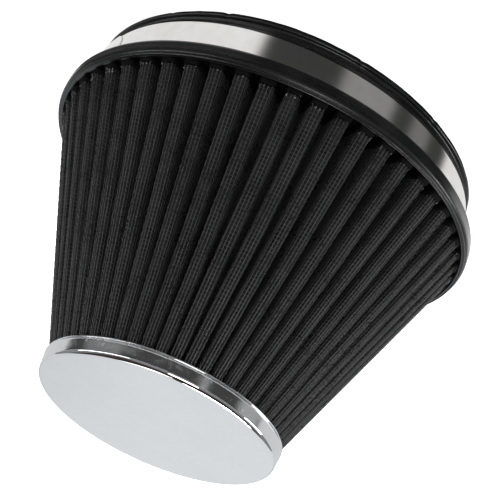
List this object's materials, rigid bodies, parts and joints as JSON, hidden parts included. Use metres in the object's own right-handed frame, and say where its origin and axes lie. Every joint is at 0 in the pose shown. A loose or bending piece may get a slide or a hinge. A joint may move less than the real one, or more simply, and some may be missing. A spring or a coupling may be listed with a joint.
{
  "type": "clamp-on air filter",
  "caption": "Round tapered air filter: pleated screened media between a chrome end cap and a black moulded base ring, with a worm-drive clamp on its neck.",
  "frame": {"origin": "centre of the neck's mouth, on the plane that the mouth stands on", "axes": "+Z along the filter's axis from the mouth to the end cap, -Y the front, +X to the right seen from the front"},
  "size_m": [0.1788, 0.1788, 0.1364],
  "materials": {
    "chrome_plate": "polished chrome plating",
    "black_urethane": "soft moulded urethane, semi-gloss black",
    "coated_wire": "woven aluminium wire with a black epoxy coat",
    "oiled_cotton": "dark oiled cotton gauze",
    "stainless_strip": "bright rolled stainless strip with fine lengthwise lines",
    "plated_steel": "zinc-plated pressed steel"
  },
  "bodies": {
    "filter": {"end_cap": "chrome_plate", "cap_potting": "black_urethane", "outer_screen": "coated_wire", "cotton_gauze": "oiled_cotton", "inner_screen": "coated_wire", "seam_strip": "plated_steel", "base_moulding": "black_urethane"},
    "clamp": {"clamp_band": "stainless_strip", "clamp_saddle": "plated_steel", "clamp_housing": "plated_steel"},
    "strip_end": {"clamp_tail": "stainless_strip"},
    "worm": {"clamp_screw": "plated_steel"}
  },
  "joints": [
    {"name": "clamp_turn", "type": "hinge", "parent": "filter", "child": "clamp", "pos_m": [0, 0, 0.0138], "axis": [0, 0, 1], "continuous": true},
    {"name": "worm_turn", "type": "hinge", "parent": "clamp", "child": "worm", "pos_m": [0.07395, 0.04621, 0.0138], "axis": [0.5299, -0.848, 0], "range_deg": [0, 3605]},
    {"name": "strip_feed", "type": "hinge", "parent": "clamp", "child": "strip_end", "pos_m": [0, 0, 0.0138], "axis": [0, 0, 1], "range_deg": [0, 16.38]}
  ],
  "couplings": [
    {"joint": "worm_turn", "follows": "strip_feed", "ratio": 219.65}
  ]
}
